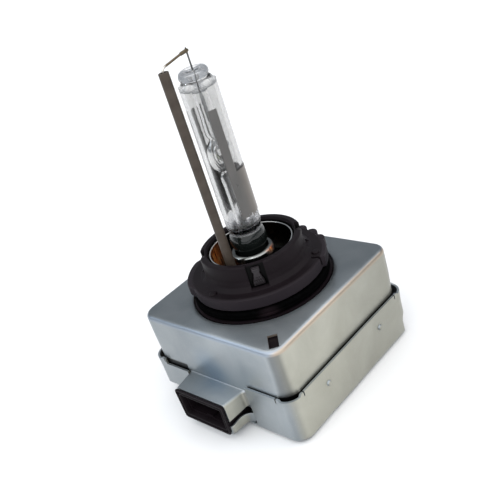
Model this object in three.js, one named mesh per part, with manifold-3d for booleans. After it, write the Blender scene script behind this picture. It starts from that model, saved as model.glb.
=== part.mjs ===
// Gas-discharge headlight bulb with its igniter box. Millimetres, +Z up along the burner.
// Origin: underside of the lower tray, below the burner's axis. The connector faces -Y.
import * as THREE from 'three';
import { mergeVertices } from 'three/addons/utils/BufferGeometryUtils.js';
import Module from 'manifold-3d';

const wasm = await Module();
wasm.setup();

// ---------------------------------------------------------------- driving dimensions
const GAP = 0.3;               // clearance between neighbouring pieces
const SHEET = 0.5;             // thickness of the can's sheet steel

const shell = { halfX: 21.8, halfY: 21.8, bottom: 5.6, top: 24.5, corner: 3.8, edge: 1.1, hole: 17.2 };
const keySlot = { start: 23.2, end: 27.9, width: 2.2, angle: -44.3 };
const tray = { halfX: 22.8, halfY: 22.6, top: 12.4, corner: 3.6, edge: 1.6 };
const lowRim = { from: -17.9, height: 10.8 };                  // step in the rim left of the connector
const bevel = { size: 4.4, end: -10.9 };                       // under the front edge, left
const pressedCorner = { angle: 50.3, reach: 29.4, top: 4.6 };  // back right corner
const dimple = { y: 10.4, z: 8.5, radius: 0.95, height: 0.5 };
const shroud = { left: -9.2, right: 6.9, front: -27.7, roof: 10.6, sideBottom: 5.9, flare: 2.2, taper: 1 };
const lip = { front: -27.9, bottom: 1.2, top: 4.8, corner: 2.2, edge: 1.6 };
const mouth = { left: -7.6, right: 5.3, bottom: 3.9, top: 8.9, face: -28.5, depth: 8 };
const pin = { width: 0.8, spacing: 2.7, tip: -23.6, tail: -13.2, z: 6.1 };

const flange = { radius: 16, bottom: 27, top: 30, neckRadius: 14.2, neckBottom: 24.8, floor: 26.3 };
const collar = { outer: 12.2, inner: 10.4, top: 35.7 };
const slot = { width: 4.1, bottom: 30.1, firstAngle: -44, back: 10.9 };
const boss = { circle: 14.4, radius: 0.9, height: 0.3, angles: [-93, 29, 149] };
const lobe = { circle: 15.7, radius: 1.5, angles: [56, 70.5, 85] };
const wings = [
  { radius: 17.1, from: 200, to: 230, taper: 7 },
  { radius: 16.7, from: 23, to: 50, taper: 2 },
];
const slit = { width: 0.7, depth: 2.2, angle: 20 };
const liner = { outer: 10.1, inner: 9.7, bottom: 27.4, top: 34.8 };
const clamp = { inner: 3.9, outer: 5.2, bottom: 27.5, top: 34.3 };

const glass = { radius: 4.1, inner: 3.2, bottom: 29.5, top: 77.1, crown: 3.45 };
const arc = { centre: 57.6, halfLength: 3.3, radius: 2.9, stem: 1.7, bore: 0.95, bottom: 30, top: 72.2 };
const electrodeGap = 4.2;
const lead = { radius: 0.2, top: 81.25, bottom: 18 };
const tube = { x: 0.4, y: -7.75, outer: 1.1, inner: 0.6, bottom: 26.8, top: 79.2 };
const returnWire = { radius: 0.3, crossing: 80.1, rise: 0.6, bottom: 17, bend: 0.9 };

const board = { halfX: 19, front: -14.4, back: 19.4, bottom: 3.2, top: 4.8 };
const transformer = { y: 9.4, z: 12.6, coreRadius: 3, halfLength: 14, flangeRadius: 6.4, sections: 4 };

// ---------------------------------------------------------------- materials
const looks = {
  steel: { color: 0xa9adab, roughness: 0.38, metalness: 0.9 },
  linerSteel: { color: 0x8c8f90, roughness: 0.3, metalness: 0.95 },
  blackPlastic: { color: 0x231f22, roughness: 0.55, metalness: 0 },
  rubber: { color: 0x101011, roughness: 0.8, metalness: 0 },
  quartz: { color: 0xdfe5e8, roughness: 0.03, metalness: 0, transparent: true, opacity: 0.35 },
  ceramic: { color: 0x4b443c, roughness: 0.6, metalness: 0 },
  nickel: { color: 0xb9b3a4, roughness: 0.3, metalness: 1 },
  tungsten: { color: 0x55585c, roughness: 0.4, metalness: 1 },
  brass: { color: 0xb08d4a, roughness: 0.35, metalness: 1 },
  copper: { color: 0xb06a3c, roughness: 0.35, metalness: 1 },
  ferrite: { color: 0x2c2c30, roughness: 0.7, metalness: 0.1 },
  boardGreen: { color: 0x2c5a3a, roughness: 0.6, metalness: 0 },
  cream: { color: 0xd9cfae, roughness: 0.6, metalness: 0 },
};

// ---------------------------------------------------------------- geometry helpers
function solid(geometry) {
  const bare = geometry.clone();
  bare.deleteAttribute('normal');
  bare.deleteAttribute('uv');
  const merged = mergeVertices(bare, 1e-4);
  return new wasm.Manifold(new wasm.Mesh({
    numProp: 3,
    vertProperties: new Float32Array(merged.attributes.position.array),
    triVerts: new Uint32Array(merged.index.array),
  }));
}

function toGeometry(manifold) {
  const mesh = manifold.getMesh();
  const geometry = new THREE.BufferGeometry();
  geometry.setAttribute('position', new THREE.BufferAttribute(mesh.vertProperties, mesh.numProp));
  geometry.setIndex(new THREE.BufferAttribute(mesh.triVerts, 1));
  return geometry;
}

function join(first, ...others) {
  return others.reduce((sum, other) => sum.add(other), first);
}

function cut(first, ...others) {
  return others.reduce((rest, other) => rest.subtract(other), first);
}

function block(x0, x1, y0, y1, z0, z1) {
  const geometry = new THREE.BoxGeometry(x1 - x0, y1 - y0, z1 - z0);
  geometry.translate((x0 + x1) / 2, (y0 + y1) / 2, (z0 + z1) / 2);
  return solid(geometry);
}

// Block whose sides spread by the taper on their way from its front, y0, to its back, y1.
function taperedBlock(x0, x1, taper, y0, y1, z0, z1) {
  const plan = new THREE.Shape();
  plan.moveTo(x0, y0);
  plan.lineTo(x1, y0);
  plan.lineTo(x1 + taper, y1);
  plan.lineTo(x0 - taper, y1);
  plan.closePath();
  const geometry = new THREE.ExtrudeGeometry(plan, { depth: z1 - z0, bevelEnabled: false });
  geometry.translate(0, 0, z0);
  return solid(geometry);
}

// Turns a closed profile of [radius, height] points about the Z axis.
function turned(profile, segments = 24, closed = true) {
  const points = profile.map(([r, z]) => new THREE.Vector2(r, z));
  if (closed) {
    points.push(points[0].clone());
  }
  return solid(new THREE.LatheGeometry(points, segments).rotateX(Math.PI / 2));
}

// Upright cylinder at (x, y) from z0 to z1.
function post(radius, z0, z1, x = 0, y = 0, segments = 24) {
  const geometry = new THREE.CylinderGeometry(radius, radius, z1 - z0, segments);
  geometry.rotateX(Math.PI / 2);
  geometry.translate(x, y, (z0 + z1) / 2);
  return solid(geometry);
}

function roundedRect(halfX, halfY, radius) {
  const shape = new THREE.Shape();
  shape.absarc(halfX - radius, -halfY + radius, radius, -Math.PI / 2, 0);
  shape.absarc(halfX - radius, halfY - radius, radius, 0, Math.PI / 2);
  shape.absarc(-halfX + radius, halfY - radius, radius, Math.PI / 2, Math.PI);
  shape.absarc(-halfX + radius, -halfY + radius, radius, Math.PI, 1.5 * Math.PI);
  shape.closePath();
  return shape;
}

// Upright rounded-rectangle block whose top and bottom edges are rounded by `edge`.
function softBlock(halfX, halfY, radius, edge, z0, z1) {
  const geometry = new THREE.ExtrudeGeometry(roundedRect(halfX, halfY, radius), {
    depth: z1 - z0 - 2 * edge,
    curveSegments: 5,
    bevelEnabled: edge > 0,
    bevelThickness: edge,
    bevelSize: edge,
    bevelOffset: -edge,
    bevelSegments: 3,
  });
  geometry.translate(0, 0, z0 + edge);
  return solid(geometry);
}

// Turns an extrusion's outline from the XY plane to the YZ plane, with its depth along +X.
function facingX(geometry) {
  return geometry.applyMatrix4(new THREE.Matrix4().set(0, 0, 1, 0, 1, 0, 0, 0, 0, 1, 0, 0, 0, 0, 0, 1));
}

// The same block one sheet thickness smaller all round, for hollowing it out.
function insetBlock(halfX, halfY, radius, edge, z0, z1) {
  return softBlock(halfX - SHEET, halfY - SHEET, radius - SHEET, edge - SHEET, z0, z1);
}

function atAngle(manifold, degrees) {
  return manifold.rotate([0, 0, degrees]);
}

// ---------------------------------------------------------------- igniter can
function upperShell() {
  const { halfX, halfY, corner, edge, bottom, top, hole } = shell;
  const outer = softBlock(halfX, halfY, corner, edge, bottom - 4, top);
  const inner = insetBlock(halfX, halfY, corner, edge, bottom - 5, top - SHEET);
  const sides = block(-30, 30, -30, 30, bottom, top + 1);
  const skirt = outer.subtract(inner).intersect(sides);

  const { left, right, front, roof, sideBottom, flare, taper } = shroud;
  const frontWall = -halfY + SHEET;
  const cover = taperedBlock(left, right, taper, front, frontWall, sideBottom, roof);
  const flareStep = block(right, right + flare, -halfY - 0.6, frontWall, sideBottom, roof);
  const passage = taperedBlock(
    left + SHEET, right - SHEET, taper, front - 0.01, frontWall + 0.01, -1, roof - SHEET,
  );

  const baseHole = post(hole, top - 3, top + 1, 0, 0, 40);
  const { start, end, width, angle } = keySlot;
  const cornerSlot = atAngle(block(start, end, -width / 2, width / 2, top - 2, top + 1), angle);
  return cut(join(skirt, cover, flareStep), passage, baseHole, cornerSlot);
}

// What the tray leaves free outside its wall; a positive `inset` gives the same face one sheet further in.
function trayRecesses(inset) {
  const size = bevel.size + inset * Math.SQRT2;
  const side = new THREE.Shape();
  side.moveTo(-tray.halfY - 2, -2);
  side.lineTo(-tray.halfY + size + 2, -2);
  side.lineTo(-tray.halfY - 2, size + 2);
  side.closePath();
  const length = 30 + bevel.end + inset;
  const wedge = new THREE.ExtrudeGeometry(side, { depth: length, bevelEnabled: false });
  const { angle, reach, top } = pressedCorner;
  return [
    solid(facingX(wedge)).translate([-30, 0, 0]),
    atAngle(block(reach - inset, 40, -12, 12, -1, top + inset), angle),
  ];
}

function lowerTray() {
  const { halfX, halfY, corner, edge, top } = tray;
  const outer = cut(softBlock(halfX, halfY, corner, edge, 0, top + 4), ...trayRecesses(0));
  const inner = cut(insetBlock(halfX, halfY, corner, edge, SHEET, top + 5), ...trayRecesses(SHEET));
  const below = block(-40, 40, -40, 40, -1, top);
  const capRadius = (dimple.radius ** 2 + dimple.height ** 2) / (2 * dimple.height);
  const bumps = [];
  for (const side of [-1, 1]) {
    for (const y of [-dimple.y, dimple.y]) {
      const ball = new THREE.SphereGeometry(capRadius, 12, 8);
      ball.translate(side * (halfX + dimple.height - capRadius), y, dimple.z);
      bumps.push(solid(ball));
    }
  }
  const cup = cut(join(outer, ...bumps).intersect(below), inner);

  const lipShape = (inset, z0) => {
    const halfWidth = (shroud.right - shroud.left) / 2 - inset;
    const halfDepth = (-halfY + 6 - lip.front) / 2 - inset;
    const [radius, edgeRadius] = [lip.corner - inset, lip.edge - inset];
    const pad = softBlock(halfWidth, halfDepth, radius, edgeRadius, z0, lip.top + 4);
    return pad.translate([(shroud.left + shroud.right) / 2, lip.front + halfDepth + inset, 0]);
  };
  const lipOuter = lipShape(0, lip.bottom).intersect(block(-20, 20, -30, -halfY + 2, 0, lip.top));
  const floor = lip.bottom + SHEET;
  const lipInner = lipShape(SHEET, floor);
  const { left, right, taper, flare } = shroud;
  const frontDoor = block(
    left - taper - GAP, right + flare + GAP, -halfY - 1, -halfY + 2.2, floor, top + 1,
  );
  const rimStep = block(lowRim.from, left - taper, -halfY - 1, -halfY + 1, lowRim.height, top + 1);
  const frontLow = block(left + 1, right - 1, lip.front - 1, lip.front + 1.5, floor + GAP, lip.top + 1);
  return cut(join(cup, lipOuter), lipInner, frontDoor, frontLow, rimStep);
}

// ---------------------------------------------------------------- connector
function connectorBody() {
  const { left, right, bottom, top, face, depth } = mouth;
  const roofGap = shroud.roof - SHEET - GAP;
  const [barrelLeft, barrelRight] = [shroud.left + SHEET + GAP, shroud.right - SHEET - GAP];
  const barrelFloor = lip.bottom + 1.4;
  const barrel = block(barrelLeft, barrelRight, lip.front + 1.5, -15.5, barrelFloor, roofGap);
  const neck = block(left - 0.4, right + 0.4, face + 0.2, -26, barrelFloor, roofGap);
  const rim = block(shroud.left, shroud.right, face, lip.front - GAP, lip.bottom + 1, shroud.roof);
  const cavity = block(left, right, face - 1, face + depth, bottom, top);
  const holes = pinPlaces().map((x) => {
    const half = pin.width / 2 + GAP;
    return block(x - half, x + half, face + depth - 1, -14, pin.z - half, pin.z + half);
  });
  return cut(join(barrel, neck, rim), cavity, ...holes);
}

function pinPlaces() {
  const middle = (mouth.left + mouth.right) / 2;
  return [-1.5, -0.5, 0.5, 1.5].map((step) => middle + step * pin.spacing);
}

// Square pin with a tapered tip, lying along Y at height pin.z.
function terminalPin(x) {
  const half = pin.width / 2;
  const side = new THREE.Shape();
  side.moveTo(pin.tip, -half / 3);
  side.lineTo(pin.tip + 1, -half);
  side.lineTo(pin.tail, -half);
  side.lineTo(pin.tail, half);
  side.lineTo(pin.tip + 1, half);
  side.lineTo(pin.tip, half / 3);
  side.closePath();
  const geometry = new THREE.ExtrudeGeometry(side, { depth: pin.width, bevelEnabled: false });
  geometry.translate(0, 0, -half);
  return solid(facingX(geometry)).translate([x, 0, pin.z]);
}

// ---------------------------------------------------------------- base
function baseFlange() {
  const { radius, bottom, top, neckRadius, neckBottom, floor } = flange;
  const ring = turned([
    [2, neckBottom], [neckRadius, neckBottom], [neckRadius, bottom],
    [radius - 0.4, bottom], [radius, bottom + 0.4], [radius, top - 0.4], [radius - 0.4, top],
    [collar.outer + 1.4, top], [collar.outer + 0.4, top + 0.6], [collar.outer, top + 1.8],
    [collar.outer, collar.top - 0.5], [collar.outer - 0.4, collar.top],
    [collar.inner + 0.4, collar.top], [collar.inner, collar.top - 0.4],
    [collar.inner, floor], [2, floor],
  ], 40);
  const lobes = lobe.angles.map((angle) => (
    atAngle(post(lobe.radius, bottom, top, lobe.circle, 0, 12), angle)
  ));
  const bosses = boss.angles.map((angle) => (
    atAngle(post(boss.radius, top - 1, top + boss.height, boss.circle, 0, 12), angle)
  ));
  const { width } = slot;
  const slots = [0, 90, 180, 270].map((turn) => atAngle(
    block(slot.back, collar.outer + 1.6, -width / 2, width / 2, slot.bottom, collar.top + 1),
    slot.firstAngle + turn,
  ));
  const rimSlit = atAngle(
    block(radius - slit.depth, radius + 2, -slit.width / 2, slit.width / 2, bottom + 0.9, top + 1),
    slit.angle,
  );
  const tubeHole = post(tube.outer + GAP, neckBottom - 1, floor + 1, tube.x, tube.y);
  return cut(join(ring, ...wings.map(keyWing), ...lobes, ...bosses), ...slots, rimSlit, tubeHole);
}

// Wide key on the flange: a slice of a larger disc with sloping ends.
function keyWing({ radius, from, to, taper }) {
  const root = flange.neckRadius;
  const angles = [from - taper, from, to, to + taper].map((angle) => THREE.MathUtils.degToRad(angle));
  const slice = new THREE.Shape();
  slice.moveTo(root * Math.cos(angles[0]), root * Math.sin(angles[0]));
  slice.absarc(0, 0, radius, angles[1], angles[2]);
  slice.lineTo(root * Math.cos(angles[3]), root * Math.sin(angles[3]));
  slice.closePath();
  const { bottom, top } = flange;
  const geometry = new THREE.ExtrudeGeometry(slice, {
    depth: top - bottom, bevelEnabled: false, curveSegments: 8,
  });
  geometry.translate(0, 0, bottom);
  return solid(geometry);
}

// Tab with a wide foot and a narrow waist that stands in a collar slot.
function collarTab(angle) {
  const outline = new THREE.Shape();
  outline.moveTo(-1.35, slot.bottom + GAP);
  outline.lineTo(1.35, slot.bottom + GAP);
  outline.lineTo(1.0, slot.bottom + 1.9);
  outline.lineTo(0.7, slot.bottom + 3.3);
  outline.lineTo(0.9, slot.bottom + 3.7);
  outline.lineTo(0.9, slot.bottom + 4.6);
  outline.lineTo(-0.9, slot.bottom + 4.6);
  outline.lineTo(-0.9, slot.bottom + 3.7);
  outline.lineTo(-0.7, slot.bottom + 3.3);
  outline.lineTo(-1.0, slot.bottom + 1.9);
  outline.closePath();
  const geometry = new THREE.ExtrudeGeometry(outline, { depth: 0.9, bevelEnabled: false });
  return atAngle(solid(facingX(geometry)).translate([slot.back + GAP, 0, 0]), angle);
}

function sealingRing() {
  const inner = flange.neckRadius + GAP;
  const outer = shell.hole - 2 * GAP;
  const low = flange.neckBottom;
  const high = flange.bottom - GAP;
  return turned([
    [inner, low], [outer - 0.5, low], [outer, low + 0.5],
    [outer, high - 0.5], [outer - 0.5, high], [inner, high],
  ], 36);
}

function collarLiner() {
  const { outer, inner, bottom, top } = liner;
  return turned([[inner, bottom], [outer, bottom], [outer, top], [inner, top]], 36);
}

function burnerHolder() {
  const low = flange.floor + GAP;
  const bore = clamp.outer + GAP - 0.4;
  const rim = liner.inner - GAP;
  const disc = turned([
    [bore, low], [rim, low], [rim, low + SHEET],
    [bore + SHEET, low + SHEET], [bore + SHEET, low + 2.4], [bore, low + 2.4],
  ], 24);
  return cut(disc, post(tube.outer + GAP, low - 1, low + 4, tube.x, tube.y));
}

function burnerClampRing() {
  const { inner, outer, bottom, top } = clamp;
  return turned([
    [inner + 0.5, bottom], [outer - 0.4, bottom], [outer - 0.4, top - 2],
    [outer, top - 1.2], [outer, top - 0.6], [outer - 0.2, top - 0.1], [outer - 0.5, top],
    [outer - 0.9, top - 0.1], [inner, top - 0.8], [inner, top - 1.3], [inner + 0.5, top - 1.7],
  ], 28);
}

// ---------------------------------------------------------------- burner
function outerBulb() {
  const { radius, inner, bottom, top, crown } = glass;
  const sleeve = arc.stem + GAP;
  const leadHole = lead.radius + GAP;
  const neck = [[sleeve, bottom], [3.4, bottom], [3.4, 34.6]];
  const bulge = [[4.0, 35.6], [4.3, 36.8], [4.2, 38], [3.8, 39]];
  const shoulder = [[radius, 40.2], [radius, top - 3.9], [3.9, top - 3.2], [3.3, top - 2.2]];
  const button = [[3.2, top - 1.9], [crown, top - 1.5], [crown, top - 0.9], [3, top - 0.3]];
  const inlet = [[2.2, top], [1.3, top - 0.1], [leadHole, top - 0.9], [leadHole, top - 3.2]];
  const insideWall = [[inner - 1.2, top - 3.4], [inner, top - 4.7], [inner, 40.4]];
  const insideBulge = [[2.7, 39], [3.3, 37.6], [3.0, 35.8], [sleeve, 34.6]];
  return turned([...neck, ...bulge, ...shoulder, ...button, ...inlet, ...insideWall, ...insideBulge], 24);
}

function arcTube() {
  const { centre, halfLength, radius, stem, bore, bottom, top } = arc;
  const chamber = { halfLength: halfLength - 0.5, radius: 1.35 };
  const outside = [];
  const inside = [];
  const steps = 8;
  for (let i = 1; i < steps; i += 1) {
    const angle = Math.PI * (i / steps - 0.5);
    const across = Math.cos(angle);
    const along = Math.sin(angle);
    const outerRadius = Math.max(stem, radius * across ** 0.8);
    const innerRadius = Math.max(bore, chamber.radius * across ** 0.5);
    outside.push([outerRadius, centre + halfLength * along]);
    inside.unshift([innerRadius, centre + chamber.halfLength * along]);
  }
  return turned([[bore, bottom], [stem, bottom], ...outside, [stem, top], [bore, top], ...inside], 20);
}

function wireAlongAxis(radius, z0, z1) {
  return post(radius, z0, z1, 0, 0, 8);
}

// The end of the return wire stands this far in front of the upper lead.
const gripY = -2 * lead.radius - GAP;

// The return wire comes from the crimp, crosses to the ceramic tube and runs down inside it.
function returnWirePiece() {
  const { radius, crossing, rise, bottom, bend } = returnWire;
  const path = new THREE.CurvePath();
  const start = new THREE.Vector3(0, gripY, crossing + rise);
  const corner = new THREE.Vector3(tube.x, tube.y, crossing);
  const beforeBend = new THREE.Vector3(tube.x, tube.y + bend, crossing);
  const afterBend = new THREE.Vector3(tube.x, tube.y, crossing - bend);
  path.add(new THREE.LineCurve3(start, beforeBend));
  path.add(new THREE.QuadraticBezierCurve3(beforeBend, corner, afterBend));
  path.add(new THREE.LineCurve3(afterBend, new THREE.Vector3(tube.x, tube.y, bottom)));
  const section = new THREE.Shape();
  section.absarc(0, 0, radius, 0, 2 * Math.PI);
  return solid(new THREE.ExtrudeGeometry(section, { steps: 52, curveSegments: 4, extrudePath: path }));
}

// Flat sleeve squeezed round the upper lead and the end of the return wire.
function weldCrimp() {
  const z0 = lead.top - 1.2;
  const stadium = (radius, low, high) => join(
    post(radius, low, high, 0, 0, 16),
    post(radius, low, high, 0, gripY, 16),
    block(-radius, radius, gripY, 0, low, high),
  );
  const open = stadium(lead.radius + GAP, z0 - 1, lead.top + 1);
  const wayOut = block(-lead.radius - GAP, lead.radius + GAP, -4, gripY, z0 - 1, z0 + 0.95);
  return cut(stadium(lead.radius + GAP + 0.25, z0, lead.top), open, wayOut);
}

function ceramicTube() {
  const { outer, inner, bottom, top, x, y } = tube;
  const ring = turned([[inner, bottom], [outer, bottom], [outer, top], [inner, top]], 16);
  return ring.translate([x, y, 0]);
}

// ---------------------------------------------------------------- igniter
function igniterFrame() {
  const plateTop = shell.top - SHEET - GAP;
  const plate = softBlock(20.3, 20.6, 4.6, 0, plateTop - 1.8, plateTop);
  const disc = post(shell.hole - GAP, plateTop - 1.8, shell.top, 0, 0, 40);
  const hub = post(3.4, 16.5, plateTop - 1, 0, 0, 20);
  const legs = [];
  for (const x of [-16.8, 16.8]) {
    for (const y of [-12.4, 17]) {
      legs.push(block(x - 1.4, x + 1.4, y - 1.4, y + 1.4, board.top + GAP, plateTop - 1));
    }
  }
  const axisBore = post(1.3 + GAP, 10, shell.top + 1, 0, 0, 16);
  const wireHole = post(returnWire.radius + GAP, 10, shell.top + 1, tube.x, tube.y, 12);
  return cut(join(plate, disc, hub, ...legs), axisBore, wireHole);
}

function highVoltageContact() {
  const sleeve = turned([[0.65, 15.4], [1.3, 15.4], [1.3, 25.6], [0.65, 25.6]], 16);
  return join(sleeve, block(-6.2, -0.7, -0.6, 0.6, 15.4, 16));
}

function groundContact() {
  const sleeve = cut(
    post(1.1, 17.5, 20.5, tube.x, tube.y, 12),
    post(returnWire.radius + GAP, 15, 22, tube.x, tube.y, 12),
  );
  const { x, y } = tube;
  return join(sleeve, block(x - 1.5, x + 1.5, y - 1.3, y - 0.8, board.top + GAP, 20.5));
}

function circuitBoard() {
  const { halfX, front, back, bottom, top } = board;
  return block(-halfX, halfX, front, back, bottom, top);
}

function insulatingSheet() {
  return block(-20, 20, -15, 20.4, SHEET + GAP, SHEET + GAP + 0.4);
}

// Turned piece laid along X through the transformer's axis.
function onCoilAxis(manifold) {
  return manifold.rotate([0, 90, 0]).translate([0, transformer.y, transformer.z]);
}

function coilStations() {
  const { halfLength, sections } = transformer;
  return Array.from({ length: sections + 1 }, (_, i) => -halfLength + (2 * halfLength * i) / sections);
}

function ferriteCore() {
  const { coreRadius, halfLength } = transformer;
  return onCoilAxis(post(coreRadius, -halfLength - 1.5, halfLength + 1.5, 0, 0, 20));
}

function coilBobbin() {
  const { coreRadius, flangeRadius } = transformer;
  const bore = coreRadius + GAP;
  const barrel = bore + 0.8;
  const profile = [];
  for (const station of coilStations()) {
    profile.push([barrel, station - 0.5], [flangeRadius, station - 0.5]);
    profile.push([flangeRadius, station + 0.5], [barrel, station + 0.5]);
  }
  const outside = profile.slice(1, -1);
  const low = outside[0][1];
  const high = outside[outside.length - 1][1];
  return onCoilAxis(turned([[bore, low], ...outside, [bore, high]], 20));
}

function winding(index, depth) {
  const stations = coilStations();
  const low = stations[index] + 0.5 + GAP;
  const high = stations[index + 1] - 0.5 - GAP;
  const inner = transformer.coreRadius + GAP + 0.8 + GAP;
  const outer = inner + depth;
  return onCoilAxis(turned([[inner, low], [outer, low], [outer, high], [inner, high]], 20));
}

// Completes the lower half of a profile that starts on the axis with its mirror image.
function mirroredUp(lowerHalf) {
  const upperHalf = lowerHalf.map(([r, z]) => [r, -z]).reverse();
  return [...lowerHalf, ...upperHalf];
}

function sparkGap() {
  const lowerHalf = [[0, -4.2], [2.6, -4.2], [3.2, -3.7], [3.2, -2.2], [3.7, -1.8]];
  const body = turned(mirroredUp(lowerHalf), 20, false);
  return body.rotate([90, 0, 0]).translate([-10.5, -5.6, board.top + GAP + 3.7]);
}

function capacitor() {
  return softBlock(4.6, 3, 0.8, 0, board.top + GAP, board.top + GAP + 9).translate([9.6, -7.6, 0]);
}

function bleedResistor() {
  const body = turned(mirroredUp([[0, -3.2], [1.1, -3.2], [1.3, -2.4], [1, -1.9]]), 14, false);
  return body.rotate([90, 0, 0]).translate([3.6, -3.2, board.top + GAP + 1.3]);
}

// ---------------------------------------------------------------- assembly
const group = new THREE.Group();

function add(name, look, manifold) {
  const mesh = new THREE.Mesh(toGeometry(manifold), new THREE.MeshStandardMaterial(looks[look]));
  mesh.name = name;
  group.add(mesh);
}

add('upper_shell', 'steel', upperShell());
add('lower_tray', 'steel', lowerTray());
add('connector_body', 'blackPlastic', connectorBody());
pinPlaces().forEach((x, i) => add(`terminal_pin_${i + 1}`, 'brass', terminalPin(x)));

add('base_flange', 'blackPlastic', baseFlange());
add('sealing_ring', 'rubber', sealingRing());
add('collar_liner', 'linerSteel', collarLiner());
add('burner_holder', 'linerSteel', burnerHolder());
add('burner_clamp_ring', 'linerSteel', burnerClampRing());
[0, 90, 180, 270].forEach((turn, i) => (
  add(`collar_tab_${i + 1}`, 'blackPlastic', collarTab(slot.firstAngle + turn))
));

add('outer_bulb', 'quartz', outerBulb());
add('arc_tube', 'quartz', arcTube());
const tipOffset = electrodeGap / 2;
const foilTop = arc.centre + 14.2;
const foilBottom = arc.centre - 12.4;
add('upper_electrode', 'tungsten', wireAlongAxis(0.2, arc.centre + tipOffset, foilTop - 7 - GAP));
add('lower_electrode', 'tungsten', wireAlongAxis(0.2, foilBottom + 7 + GAP, arc.centre - tipOffset));
add('upper_foil', 'tungsten', block(-0.6, 0.6, -0.1, 0.1, foilTop - 7, foilTop));
add('lower_foil', 'tungsten', block(-0.6, 0.6, -0.1, 0.1, foilBottom, foilBottom + 7));
add('upper_lead', 'nickel', wireAlongAxis(lead.radius, foilTop + GAP, lead.top));
add('lower_lead', 'nickel', wireAlongAxis(lead.radius, lead.bottom, foilBottom - GAP));
add('weld_crimp', 'nickel', weldCrimp());
add('return_wire', 'nickel', returnWirePiece());
add('ceramic_tube', 'ceramic', ceramicTube());

add('igniter_frame', 'blackPlastic', igniterFrame());
add('insulating_sheet', 'cream', insulatingSheet());
add('circuit_board', 'boardGreen', circuitBoard());
add('high_voltage_contact', 'brass', highVoltageContact());
add('ground_contact', 'brass', groundContact());
add('ferrite_core', 'ferrite', ferriteCore());
add('coil_bobbin', 'cream', coilBobbin());
add('primary_winding', 'copper', winding(0, 1.2));
[1, 2, 3].forEach((index) => add(`secondary_winding_${index}`, 'copper', winding(index, 1.6)));
add('spark_gap', 'nickel', sparkGap());
add('capacitor', 'cream', capacitor());
add('bleed_resistor', 'cream', bleedResistor());

export default group;
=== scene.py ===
"""Headlight bulb: the looks, for Blender 4.5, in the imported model's frame.

Lengths in this script are millimetres unless a name or comment says otherwise; meshes are
scaled to metres when they are made.
"""
import math

import bmesh
import bpy
from mathutils import Matrix, Vector, noise


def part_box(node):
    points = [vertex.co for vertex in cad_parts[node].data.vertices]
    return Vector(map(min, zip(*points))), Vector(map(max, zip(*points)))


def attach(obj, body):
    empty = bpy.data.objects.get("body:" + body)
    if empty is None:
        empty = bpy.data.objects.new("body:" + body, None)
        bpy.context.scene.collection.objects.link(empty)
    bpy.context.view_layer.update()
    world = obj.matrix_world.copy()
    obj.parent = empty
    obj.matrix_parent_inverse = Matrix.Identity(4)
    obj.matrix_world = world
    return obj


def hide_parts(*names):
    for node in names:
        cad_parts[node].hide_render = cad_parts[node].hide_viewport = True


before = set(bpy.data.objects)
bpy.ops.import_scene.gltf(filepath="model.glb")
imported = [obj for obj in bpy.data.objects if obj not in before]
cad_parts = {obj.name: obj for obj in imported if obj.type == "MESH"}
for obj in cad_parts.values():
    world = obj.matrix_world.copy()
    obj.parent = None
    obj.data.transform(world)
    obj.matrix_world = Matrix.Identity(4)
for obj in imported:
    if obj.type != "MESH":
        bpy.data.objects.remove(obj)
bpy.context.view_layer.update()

MM = 0.001
SHEET = 0.5        # sheet steel of the can
AIM_HEIGHT = 30    # where camera and lamps point, on the bulb's axis


class Extent:
    """A CAD node's box at rest, in millimetres."""

    def __init__(self, node):
        low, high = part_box(node)
        self.x0, self.y0, self.z0 = (v / MM for v in low)
        self.x1, self.y1, self.z1 = (v / MM for v in high)
        self.radius = (self.y1 - self.y0) / 2


CAN = Extent("upper_shell")
TRAY = Extent("lower_tray")
CONNECTOR = Extent("connector_body")
BASE = Extent("base_flange")
SEAL = Extent("sealing_ring")
LINER = Extent("collar_liner")
HOLDER = Extent("burner_holder")
CLAMP = Extent("burner_clamp_ring")
GLASS = Extent("outer_bulb")
ARC = Extent("arc_tube")
TUBE = Extent("ceramic_tube")
LEAD = Extent("upper_lead")


# ---------------------------------------------------------------- camera, floor and light
def make_camera(azimuth=50.34, elevation=27.45, roll=-18.54, distance=168.9, pan=(1.45, -2.44), lens=51.86):
    """Looks at the bulb's axis, then turns and slides in its own picture plane."""
    az, el, turn = (math.radians(v) for v in (azimuth, elevation, roll))
    back = Vector((math.sin(az) * math.cos(el), -math.cos(az) * math.cos(el), math.sin(el)))
    right = (-back).cross(Vector((0, 0, 1))).normalized()
    up = right.cross(-back)
    right, up = math.cos(turn) * right + math.sin(turn) * up, math.cos(turn) * up - math.sin(turn) * right
    place = Vector((0, 0, AIM_HEIGHT)) + back * distance - right * pan[0] - up * pan[1]
    data = bpy.data.cameras.new("camera")
    data.lens = lens
    data.sensor_width = 36
    data.clip_start = 0.01
    camera = bpy.data.objects.new("camera", data)
    camera.matrix_world = Matrix.Translation(place * MM) @ Matrix((right, up, back)).transposed().to_4x4()
    bpy.context.scene.collection.objects.link(camera)
    bpy.context.scene.camera = camera


def make_light(name, kind, toward, energy, colour=(1, 1, 1), size=250, angle=0):
    """A lamp in the given direction from the bulb, shining at it. energy is in Blender's own units.

    size is an area lamp's diameter, and angle the sun's spread in degrees."""
    distance = 600
    data = bpy.data.lights.new(name, kind)
    data.energy = energy
    data.color = colour
    if kind == "AREA":
        data.shape = "DISK"
        data.size = size * MM
    else:
        data.angle = math.radians(angle)
    lamp = bpy.data.objects.new(name, data)
    toward = Vector(toward).normalized()
    lamp.location = Vector((0, 0, AIM_HEIGHT * MM)) + toward * distance * MM
    lamp.rotation_euler = toward.to_track_quat("Z", "Y").to_euler()
    bpy.context.scene.collection.objects.link(lamp)


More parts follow.
